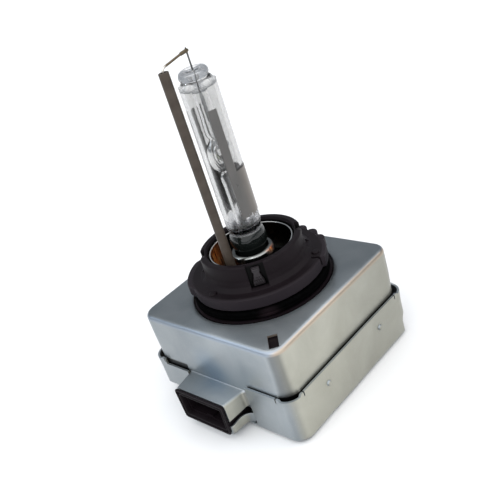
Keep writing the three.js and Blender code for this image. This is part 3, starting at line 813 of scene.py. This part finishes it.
def tray_lip(half_y):
    """Shallow trough that carries the connector and flares into the tray's front wall."""
    front, wall = CONNECTOR.y0 + 0.6, -half_y + 0.25

    def section(y):
        away = wall - y
        nose = flare(y - front, 1.2)
        left = SHROUD["left"] + nose - flare(away, 1.7)
        right = SHROUD["right"] - nose + flare(away, 0.7)
        low = LIP["floor"] + 0.4 * nose - flare(away, 0.5)
        high = LIP["top"] + 0.8 * (y - front) / (wall - front)
        lean = flare(away, 3.2)
        outline = rounded([
            (left, high, 0.1), (left, low, 1.6), (right, low, 1.6), (right + lean, high, 0.1),
            (right + lean - SHEET, high, 0.1), (right - SHEET, low + SHEET, 1.1),
            (left + SHEET, low + SHEET, 1.1), (left + SHEET, high, 0.1),
        ])
        return upright(outline, y)

    stations = [front + 1.2 * (k / 6) ** 2 for k in range(7)] + [front + 2]
    stations += [wall - 2.8 * (1 - k / 12) ** 1.5 for k in range(13)]
    lip = loft("lip", [section(y) for y in stations])
    opening_x = (SHROUD["left"] + 1, SHROUD["right"] - 1)
    opening = brick("opening", opening_x, (front - 1, front + 1.2), (LIP["floor"] + 0.8, 6))
    boolean(lip, [opening])
    return lip


def snap_dimples(half_x):
    """Round domes pressed outwards where the tray snaps over the can."""
    dimples = []
    dome = [(0, 0.5), (0.3, 0.47), (0.52, 0.36), (0.66, 0.16)]
    pressed_ring = [(0.76, -0.05), (0.95, 0.01), (1.2, 0.03), (1.5, -0.1)]
    profile = flowing(dome + pressed_ring, 5)
    height = 8.5
    for side in (-1, 1):
        for y in (-10.4, 10.4):
            dimple = lathe("dimple", profile, segments=48, closed=False)
            swing = Matrix.Rotation(side * math.pi / 2, 4, "Y")
            place = Matrix.Translation((side * half_x * MM, y * MM, height * MM))
            dimple.data.transform(place @ swing)
            dimples.append(dimple)
    return dimples


# ---------------------------------------------------------------- connector
def connector_body(material):
    """Black socket: a framed mouth with a stepped rim and keying ribs."""
    face, left, right, top, low = CONNECTOR.y0, CONNECTOR.x0, CONNECTOR.x1, CONNECTOR.z1, CONNECTOR.z0
    mouth = {"left": left + 1.6, "right": right - 1.6, "low": low + 1.7, "top": top - 1.7}

    def loop(y, x0, x1, z0, z1, radius, draw_in=0.0):
        corners = [(x0 + draw_in, z0, radius), (x0, z1, radius), (x1, z1, radius), (x1 - draw_in, z0, radius)]
        return upright(rounded(corners, steps=5), y)

    def rim(y, inset, radius):
        return loop(y, left + inset, right - inset, low + inset, top - inset, radius, 0.45)

    def bore(y, grow, radius):
        sides = (mouth["left"] - grow, mouth["right"] + grow, mouth["low"] - grow, mouth["top"] + grow)
        return loop(y, *sides, radius, 0.3)

    barrel = (left + 0.8, right - 0.8, low + 0.4, top - 0.8)
    body = loft("connector_skin", [
        loop(CONNECTOR.y1, *barrel, 0.5), loop(face + 0.6, *barrel, 0.5),
        rim(face + 0.55, 0.1, 0.7), rim(face + 0.4, 0, 0.7), rim(face + 0.15, 0, 0.7), rim(face, 0.15, 0.6),
        rim(face, 0.4, 0.5), rim(face + 0.5, 0.55, 0.5), rim(face + 0.5, 0.8, 0.45),
        bore(face + 0.12, 0.62, 0.5), bore(face + 0.12, 0.42, 0.4), bore(face + 0.25, 0.35, 0.35),
        bore(face + 1.5, 0.3, 0.35), bore(face + 1.55, 0, 0.3), bore(face + 8, 0, 0.3),
    ], sharp=30)
    ribs = []
    rib_z, key_z = (mouth["top"] - 0.6, mouth["top"] + 0.2), (mouth["low"] - 0.2, mouth["low"] + 0.5)
    for x in (mouth["left"] + 1.6, mouth["right"] - 2.2):
        ribs.append(brick("rib", (x, x + 0.7), (face + 1.2, face + 7.9), rib_z))
    middle = (mouth["left"] + mouth["right"]) / 2
    ribs.append(brick("key", around(middle, 1), (face + 1.6, face + 7.9), key_z))
    merge(body, ribs)
    smooth(body, 30)
    finish_piece(body, material, "black_plastic", "connector_body")


def terminal_pins(material):
    """Tinned blades with chamfered tips."""
    for number in range(1, 5):
        pin = Extent(f"terminal_pin_{number}")
        x, z, half = (pin.x0 + pin.x1) / 2, (pin.z0 + pin.z1) / 2, (pin.x1 - pin.x0) / 2
        stations = [(pin.y0, 0.3), (pin.y0 + 0.3, 0.62), (pin.y0 + 1.0, 0.94), (pin.y0 + 1.3, 1), (pin.y1, 1)]
        loops = []
        for y, scale in stations:
            size = half * scale
            square = [(-size, -size), (size, -size), (size, size), (-size, size)]
            outline = rounded([(a, b, 0.12 * scale) for a, b in square], steps=3)
            loops.append([Vector((x + p.x, y, z + p.y)) for p in outline])
        piece = loft(f"terminal_pin_{number}_skin", loops)
        finish_piece(piece, material, "contact_brass", f"terminal_pin_{number}")


# ---------------------------------------------------------------- base
COLLAR = {"outer": 12.2, "inner": 10.4}
SLOT_ANGLES = (-44, 46, 136, 226)


def base_flange(material):
    """Keyed flange and slotted collar, one black moulding."""
    top = BASE.z1
    base = lathe("base_flange_skin", rounded([
        (2, BASE.z0, 0), (14.2, BASE.z0, 0.2), (14.2, 27, 0.3), (16, 27, 0.35), (16, 29.55, 0.3),
        (15.6, 30, 0.25), (14.7, 29.95, 0.4), (13.6, 29.95, 0.5), (12.5, 30.7, 0.7),
        (COLLAR["outer"], 32, 0.8), (COLLAR["outer"], top, 0.5),
        (COLLAR["inner"] + 0.35, top, 0.2), (COLLAR["inner"], top - 0.7, 0.3),
        (COLLAR["inner"], 26.3, 0.3), (2, 26.3, 0),
    ], steps=5), segments=192)
    lobes = [flange_wing(17.1, 200, 230, 13), flange_wing(16.7, 23, 50, 2)]
    lobe = rounded([(0, 27.05, 0), (1.5, 27.05, 0.35), (1.5, 29.9, 0.35), (0, 29.9, 0)], closed=False)
    boss = rounded([(0, 29, 0), (0.9, 29, 0), (0.9, 30.3, 0.2), (0, 30.3, 0)], closed=False)
    for outline, reach, angles in ((lobe, 15.7, (56, 70.5, 85)), (boss, 14.4, (-93, 29, 149))):
        for a in (math.radians(angle) for angle in angles):
            lobes.append(lathe("post", outline, 40, (reach * math.cos(a), reach * math.sin(a)), closed=False))
    boolean(base, lobes, "UNION")
    cuts = [brick("slot", (10.9, 13.8), around(0, 2.05), (30.1, top + 1), angle) for angle in SLOT_ANGLES]
    cuts.append(brick("slit", (13.8, 18), around(0, 0.35), (27.9, 31), 20))
    cuts.append(tube_hole(24, 27.2))
    boolean(base, cuts)
    soften(base, 0.12, angle=50)
    finish_piece(base, material, "black_plastic", "base_flange")


def tube_hole(low, high):
    """Tool that makes way for the ceramic tube."""
    outline = [(0, low), (1.4, low), (1.4, high), (0, high)]
    return lathe("tube_hole", outline, 32, TUBE_AXIS, closed=False)


def flange_wing(radius, start, end, taper):
    """Slice of a larger disc that keys the flange, with ends sloping in over the taper's degrees."""
    loops, steps, root = [], 32, 15.9
    for k in range(steps + 1):
        angle = start - taper + (end - start + 2 * taper) * k / steps
        rise = ease(min(angle - start + taper, end + taper - angle) / taper)
        reach = root + (radius - root) * rise
        outline = rounded([(13, 27.05, 0), (reach, 27.05, 0.3), (reach, 29.9, 0.35), (13, 29.9, 0)])
        a = math.radians(angle)
        loops.append([Vector((p.x * math.cos(a), p.x * math.sin(a), p.y)) for p in outline])
    return loft("wing", loops)


def collar_tabs(material):
    """Tabs with a wide ribbed foot and a narrow waist, one in each collar slot."""
    middle = 32.8
    foot, head = [(1.35, 30.4), (1.28, 31.2), (1.0, 32.1)], [(0.72, 33.6), (0.9, 33.85), (0.9, 34.7)]
    half_outline = [*foot, (0.68, 33.3), *head]
    outline = half_outline + [(-x, z) for x, z in reversed(half_outline)]
    corners = rounded([(x, z, 0.08) for x, z in outline], steps=2)
    for number, angle in enumerate(SLOT_ANGLES, 1):
        spin = Matrix.Rotation(math.radians(angle), 3, "Z")
        depths = [(11.1, 0.85), (11.25, 1.0), (11.75, 1.0), (11.9, 0.9)]
        loops = [[spin @ Vector((r, p.x * s, middle + (p.y - middle) * (0.94 + 0.06 * s))) for p in corners]
                 for r, s in depths]
        tab = loft(f"collar_tab_{number}_skin", loops, sharp=30)
        ribs = [brick("rib", (11.7, 12.3), around(y, 0.11), (30.6, 31.7), angle, bevel=0.05)
                for y in (-0.9, -0.45, 0, 0.45, 0.9)]
        ribs += [brick("tooth", (11.7, 12.15), around(y, 0.13), (32.0, 32.35), angle, bevel=0.05)
                 for y in (-0.6, -0.2, 0.2, 0.6)]
        ribs.append(brick("head", (11.7, 12.15), around(0, 0.7), (34.1, 34.45), angle, bevel=0.08))
        merge(tab, ribs)
        smooth(tab, 30)
        finish_piece(tab, material, "black_plastic", f"collar_tab_{number}")


def sealing_ring(material):
    """Rubber ring with a groove round its side."""
    inner, low, high = 14.4, SEAL.z0, SEAL.z1
    middle = (low + high) / 2
    ring = lathe("sealing_ring_skin", rounded([
        (inner, low, 0.1), (SEAL.radius - 0.1, low, 0.3), (SEAL.radius, middle - 0.25, 0.2),
        (SEAL.radius - 0.35, middle, 0.1), (SEAL.radius, middle + 0.25, 0.2),
        (SEAL.radius - 0.2, high, 0.4), (inner, high, 0.1),
    ]), segments=160)
    finish_piece(ring, material, "seal_rubber", "sealing_ring")


def metal_cup(dark, bright):
    """Liner, holder disc and clamp ring that carry the burner. The liner and holder take the dark copy of the
    cup steel, painted shade inside the cup.
    """
    outer, inner = LINER.radius, LINER.radius - 0.4
    liner = lathe("collar_liner_skin", rounded([
        (inner, LINER.z0, 0), (outer, LINER.z0, 0), (outer, LINER.z1, 0.18), (inner, LINER.z1, 0.18),
    ]), segments=160)
    finish_piece(liner, dark, "liner_steel", "collar_liner")

    bore, low = CLAMP.radius - 0.1, HOLDER.z0
    holder = lathe("burner_holder_skin", rounded([
        (bore, low, 0.3), (HOLDER.radius, low, 0.1), (HOLDER.radius, low + 0.5, 0.2), (7.4, low + 0.5, 0.2),
        (7.0, low + 0.9, 0.2), (bore + 0.9, low + 0.9, 0.3), (bore + 0.5, HOLDER.z1, 0.2),
        (bore, HOLDER.z1, 0.1),
    ]), segments=128)
    boolean(holder, [tube_hole(low - 1, low + 2)])
    finish_piece(holder, dark, "liner_steel", "burner_holder")

    radius, top = CLAMP.radius, CLAMP.z1
    ring = lathe("burner_clamp_ring_skin", rounded([
        (4.4, CLAMP.z0, 0.1), (4.8, CLAMP.z0, 0.1), (4.8, top - 2.2, 0.4), (radius, top - 1.9, 0.3),
        (radius, top, 0.85), (4.2, top - 0.35, 0.25), (3.9, top - 1.0, 0.1), (4.4, top - 1.8, 0.3),
    ]), segments=128)
    finish_piece(ring, bright, "liner_steel", "burner_clamp_ring")


# ---------------------------------------------------------------- burner
TUBE_AXIS = ((TUBE.x0 + TUBE.x1) / 2, (TUBE.y0 + TUBE.y1) / 2)
ARC_CENTRE = 57.6
GLASS_OUTSIDE = (
    (3.4, 29.5), (3.4, 33.0), (3.55, 33.9), (3.85, 34.6), (4.2, 35.4), (4.34, 36.4), (4.28, 37.4),
    (4.0, 38.3), (3.75, 38.95), (3.84, 39.6), (4.02, 40.4), (4.1, 41.4), (4.1, 50), (4.1, 60), (4.1, 72.9),
    (4.06, 73.5), (3.88, 74.05), (3.55, 74.55), (3.2, 74.95), (3.1, 75.2), (3.24, 75.5), (3.34, 75.85),
    (3.3, 76.2), (3.1, 76.6), (2.85, 76.9), (2.4, 77.05), (1.9, 77.08), (1.45, 76.9), (1.0, 76.4),
    (0.6, 75.9), (0.34, 75.5),
)


def outer_bulb(material):
    """Clear outer quartz with the bulge above the clamp and the tipped-off crown."""
    outside = flowing(GLASS_OUTSIDE)
    inside = flowing([
        (0.34, 75), (0.8, 75.3), (1.3, 76), (1.8, 76.4), (2.4, 76.3), (2.85, 75.8), (3.0, 75.2), (2.9, 74.7),
        (2.75, 74.3), (2.9, 73.7), (3.1, 73), (3.2, 72.1), (3.2, 60), (3.2, 50), (3.2, 41.6),
        (3.05, 40.6), (2.6, 39.6), (2.45, 38.9), (2.85, 38.1), (3.3, 37.2), (3.2, 36.2), (2.7, 35.2),
        (2.1, 34.4), (2.05, 33.4), (2.05, GLASS.z0),
    ])
    bulb = lathe("outer_bulb_skin", outside + inside, segments=112, sharp=60)

    def flame_work(point, normal):
        crown = ease((point.z - 74.9) / 0.8)
        foot = ease((40.8 - point.z) / 1.5) * ease((point.z - 34.5) / 1.5)
        wobble = noise.noise(point / 1.9 + Vector((3, 1, 0)))
        lean = Vector((-0.12, -0.14, 0.05 * point.y)) * ease((point.z - 74.6) / 0.7)
        return normal * wobble * (0.07 * crown + 0.1 * foot) + lean

    reshape(bulb, flame_work)
    finish_piece(bulb, material, "outer_quartz", "outer_bulb")


def light_shield(material):
    """Enamel on the glass: a stripe on each side and a skirt low on the side away from the ceramic tube.

    Turns are degrees round the glass, from 0 on the ceramic tube's side to 180 opposite."""
    bottom, skirt_top, stripe_top, radius = 42.2, 54.0, 68.6, 4.12
    inner_edge, near_stripe_end, far_stripe_end, step = 53, 81, 87, 2
    skin, faces, rows = [], [], 60
    heights = [bottom + (stripe_top - bottom) * k / rows for k in range(rows + 1)]

    def shown(turn, z):
        side = abs(turn)
        ragged = 0.25 * noise.noise(Vector((turn / 6, z / 2, 0)))
        torn = 0.8 * noise.noise(Vector((turn / 9, 3, 0)))
        if side < inner_edge or z < bottom + 0.9 + torn + ragged:
            return False
        stripe_end = near_stripe_end if turn > 0 else far_stripe_end
        return z < (stripe_top if side < stripe_end else skirt_top) + ragged

    for k in range(-180 // step, 180 // step):
        for low, high in zip(heights, heights[1:]):
            if not shown((k + 0.5) * step, (low + high) / 2):
                continue
            first = len(skin)
            for turn, z in ((k, low), (k + 1, low), (k + 1, high), (k, high)):
                angle = math.radians(turn * step - 90)
                skin.append((radius * math.cos(angle), radius * math.sin(angle), z))
            faces.append(tuple(range(first, first + 4)))
    shield = new_piece("light_shield", skin, faces, sharp=60)
    if sum(f.normal.dot(Vector((*f.center.xy, 0))) for f in shield.data.polygons) < 0:
        shield.data.flip_normals()
    thicken(shield, -0.05, sharp=60)
    finish_piece(shield, material, "brown_ceramic")


def arc_tube(material):
    """Inner quartz: pinched stems and the lemon-shaped discharge chamber with its hollow."""
    stem, low, top = 1.7, ARC.z0, ARC.z1
    radius = ARC.radius
    body = flowing([
        (0, low), (stem - 0.1, low), (stem, low + 0.3), (stem, 48), (stem + 0.12, 52.2), (stem - 0.25, 53.6),
        (2.15, ARC_CENTRE - 2.95), (2.65, ARC_CENTRE - 1.9), (radius, ARC_CENTRE), (2.65, ARC_CENTRE + 1.9),
        (2.15, ARC_CENTRE + 2.95), (stem - 0.25, 61.6), (stem + 0.12, 63), (stem, 67), (stem, top - 0.3),
        (stem - 0.1, top), (0, top),
    ])
    tube = lathe("arc_tube_skin", body, segments=96, closed=False, sharp=60)
    chamber = flowing([
        (0, ARC_CENTRE - 3.1), (1.1, ARC_CENTRE - 2.8), (1.95, ARC_CENTRE - 1.7), (2.25, ARC_CENTRE),
        (1.95, ARC_CENTRE + 1.7), (1.1, ARC_CENTRE + 2.8), (0, ARC_CENTRE + 3.1),
    ])
    hollow = lathe("chamber", chamber, segments=64, closed=False, sharp=60)
    hollow.data.flip_normals()
    merge(tube, [hollow])
    finish_piece(tube, material, "inner_quartz", "arc_tube")


def salt_film(material):
    """Patch of grey-green salt that condenses low on the chamber wall."""
    skin, faces = [], []
    rows, columns = 16, 14
    for i in range(rows + 1):
        v = 2 * i / rows - 1
        for k in range(columns + 1):
            u = 2 * k / columns - 1
            squeeze = math.sqrt(1 - 0.5 * v * v) * (1 + 0.12 * noise.noise(Vector((u, v * 2, 5))))
            angle = math.radians(-80 + 25 * u * squeeze)
            z = ARC_CENTRE - 0.5 + 1.5 * v * math.sqrt(1 - 0.5 * u * u)
            reach = 2.2 - 0.095 * (z - ARC_CENTRE) ** 2
            skin.append((reach * math.cos(angle), reach * math.sin(angle), z))
    for i in range(rows):
        for k in range(columns):
            first = i * (columns + 1) + k
            faces.append((first, first + 1, first + columns + 2, first + columns + 1))
    film = new_piece("salt_film", skin, faces, sharp=60)
    thicken(film, 0.06, sharp=60)
    finish_piece(film, material, "inner_quartz")


def burner_metalwork(tungsten, foil_metal, wire):
    """Electrodes, sealing foils and leads on the burner's axis."""
    for name, way in (("upper_electrode", 1), ("lower_electrode", -1)):
        rod, thick = Extent(name), 0.2
        tip, end = (rod.z0, rod.z1)[::way]
        rounding = [(0, tip), (0.13, tip + 0.04 * way), (thick, tip + thick * way)]
        outline = flowing([*rounding, (thick, end), (0, end)], 4)
        finish_piece(lathe(f"{name}_skin", outline, 32, closed=False), tungsten, "tungsten", name)
    half_thick, narrowing = 0.07, ((0, 0.5), (0.5, 0.9), (1, 1))
    for name, half_width in (("upper_foil", 0.95), ("lower_foil", 1.4)):
        foil = Extent(name)
        stations = [(foil.z0 + away, scale) for away, scale in narrowing]
        stations += [(foil.z1 - away, scale) for away, scale in reversed(narrowing)]
        loops = []
        for z, scale in stations:
            w, ripple = scale * half_width, 0.03 * math.sin(z * 2.1)
            diamond = ((-w, 0), (0, -half_thick), (w, 0), (0, half_thick))
            loops.append([Vector((x, ripple + y, z)) for x, y in diamond])
        finish_piece(loft(f"{name}_skin", loops), foil_metal, "molybdenum", name)
    for name in ("upper_lead", "lower_lead"):
        rod = Extent(name)
        r, end = 0.18, rod.z1 - 0.4
        outline = flowing([(0, rod.z0), (r, rod.z0), (r, end - 0.1), (r - 0.06, end), (0, end)], 3)
        finish_piece(lathe(f"{name}_skin", outline, 32, closed=False), wire, "nickel_wire", name)


def wire_route():
    """Centre line of the return wire: from the weld over to the ceramic tube and down inside it."""
    x, y = TUBE_AXIS
    level, bend, end = 80.1, 0.9, Extent("return_wire").z0
    over = [(0.05, -0.7, level + 0.62), (0.08, -2, level + 0.58), (x - 0.1, y + 1.8, level + 0.08)]
    route = [Vector(p) for p in over]
    route += [Vector((x, y + bend - bend * math.sin(t), level - bend * (1 - math.cos(t))))
              for t in (math.pi / 2 * k / 6 for k in range(7))]
    route += [Vector((x, y, z)) for z in (76, 60, 40, 25, end)]
    return route


def swept(name, route, radii, segments=24):
    """Round bar along a route of points, with a radius for each."""
    loops = []
    side = Vector((1, 0, 0))
    for i, point in enumerate(route):
        ahead = (route[min(i + 1, len(route) - 1)] - route[max(i - 1, 0)]).normalized()
        across = (side - ahead * side.dot(ahead)).normalized()
        over = ahead.cross(across)
        loops.append([
            point + radii[i] * (math.cos(a) * across + math.sin(a) * over)
            for a in (math.tau * k / segments for k in range(segments))
        ])
    return loft(name, loops)


def return_path(wire, crimped, ceramic):
    """Return wire, its flattened weld on the upper lead, and the ceramic tube over it."""
    route = wire_route()
    bar = swept("return_wire_skin", route, [0.25] * len(route))
    finish_piece(bar, wire, "nickel_wire", "return_wire")

    top = LEAD.z1 - 0.48
    strap = [
        (0.02, 0.42, top), (0.02, 0.36, top), (0.02, 0, top + 0.03), (0.03, -0.8, top),
        (0.05, -1.5, top - 0.05), (0.06, -1.85, top - 0.07), (0.06, -1.95, top - 0.07),
    ]
    radii = (0.1, 0.34, 0.44, 0.42, 0.4, 0.34, 0.2)
    crimp = swept("weld_crimp_skin", [Vector(p) for p in strap], radii)
    reshape(crimp, lambda p, n: n * 0.09 * noise.noise(p * 2.2))
    finish_piece(crimp, crimped, "nickel_wire", "weld_crimp")

    outer, inner = TUBE.radius, 0.55
    tube = lathe("ceramic_tube_skin", rounded([
        (inner, TUBE.z0, 0.05), (outer, TUBE.z0, 0.1), (outer, TUBE.z1, 0.14), (inner, TUBE.z1, 0.12),
    ]), segments=72, centre=TUBE_AXIS)
    finish_piece(tube, ceramic, "brown_ceramic", "ceramic_tube")


# ---------------------------------------------------------------- inside the can
def dress_inner_parts(black):
    """Materials for the CAD pieces that stay as they are, inside the can."""
    copper = winding_look("copper_winding", (0.30, 0.09, 0.03), (0.75, 0.33, 0.14), 0.45)
    cream = plain_look("cream_plastic", (0.60, 0.54, 0.40), (0.74, 0.68, 0.53), scale=0.4)
    brass = plain_metal_look("contact_brass", (0.62, 0.42, 0.17), (0.78, 0.58, 0.28))
    looks = {
        "igniter_frame": black,
        "high_voltage_contact": brass,
        "ground_contact": brass,
        "coil_bobbin": cream,
        "primary_winding": copper,
        **{f"secondary_winding_{number}": copper for number in (1, 2, 3)},
    }
    own_looks = (
        ("insulating_sheet", "insulating_paper", (0.50, 0.44, 0.31), (0.66, 0.60, 0.46), (0.7, 0.9), 0.6),
        ("circuit_board", "board_laminate", (0.02, 0.10, 0.045), (0.035, 0.16, 0.07), (0.2, 0.4), 0.5),
        ("ferrite_core", "ferrite", (0.022, 0.022, 0.025), (0.04, 0.04, 0.044), (0.5, 0.8), 3.0),
        ("spark_gap", "spark_gap_ceramic", (0.70, 0.68, 0.64), (0.82, 0.80, 0.77), (0.3, 0.5), 2.0),
        ("capacitor", "capacitor_film", (0.50, 0.26, 0.05), (0.66, 0.38, 0.10), (0.15, 0.3), 0.5, 0.05),
        ("bleed_resistor", "resistor_lacquer", (0.34, 0.42, 0.47), (0.46, 0.55, 0.60), (0.2, 0.35), 1.0),
    )
    for node, *measures in own_looks:
        looks[node] = plain_look(*measures)
    for node, material in looks.items():
        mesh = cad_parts[node].data
        mesh.materials.clear()
        mesh.materials.append(material)


# ---------------------------------------------------------------- assembly
bpy.context.scene.view_settings.view_transform = "Standard"
make_camera()
make_world()
make_floor()
make_light("overhead", "SUN", (0.35, -0.25, 1), 3.0, angle=125)
make_light("warm_card", "AREA", (0.46, 0.57, 0.68), 0.15, (1.0, 0.86, 0.72))
make_light("cool_card", "AREA", (-0.68, -0.46, 0.57), 0.13, (0.80, 0.90, 1.0))
make_light("window", "AREA", (0.45, -0.75, 0.75), 0.16, (0.92, 0.96, 1.0), size=28)
make_light("bulb_glint", "AREA", (-0.75, -0.75, 0.45), 0.10, (0.75, 0.87, 1.0), size=20)

black = black_plastic_look()
# Painted highlight: near-white at the return wire's bend.
nickel = wire_look("nickel_wire", (0.12, 0.095, 0.065), (0.80, 0.77, 0.72), (0.4, -7.6, 80), 1.3)
lead = wire_look("lead_wire", (0.10, 0.10, 0.10), (0.05, 0.04, 0.03), (0, 0, 80.8), 1.5)
# Painted highlight: lighter at the crimped sleeve's middle.
crimp = wire_look("crimped_sleeve", (0.10, 0.08, 0.055), (0.26, 0.21, 0.13), (0, 0.2, 80.5), 0.9)

upper_shell(steel_look("shell_steel", shade_below=TRAY.z1 - 0.3))
lower_tray(steel_look("tray_steel"))
connector_body(black)
terminal_pins(plain_metal_look("tinned_contact", (0.52, 0.50, 0.46), (0.68, 0.66, 0.60)))
base_flange(black_plastic_look("base_plastic", is_base=True))
collar_tabs(black_plastic_look("tab_plastic", 0.6, lift=1.5))
sealing_ring(rubber_look())
# The liner steel is a darker copy of the clamp steel: painted shade inside the cup.
metal_cup(
    cup_steel_look("liner_steel", (0.035, 0.038, 0.036), (0.075, 0.08, 0.075), (-8.3, -5.0, 32), 7, LINER.z1),
    cup_steel_look("clamp_steel", (0.25, 0.26, 0.25), (0.40, 0.40, 0.385), (5.0, 1.4, 34.0), 2.6),
)
outer_bulb(quartz_look("outer_quartz", (0.76, 0.76, 0.755), 0.11, foot=(39.2, 42.8)))
light_shield(enamel_look())
arc_tube(quartz_look("inner_quartz", (0.93, 0.93, 0.925), 0.0))
salt_film(salt_look())
burner_metalwork(
    plain_metal_look("tungsten", (0.22, 0.22, 0.23), (0.36, 0.36, 0.37)),
    plain_metal_look("molybdenum", (0.30, 0.31, 0.32), (0.48, 0.49, 0.50), scale=0.8),
    lead,
)
return_path(nickel, crimp, ceramic_look())
dress_inner_parts(black)
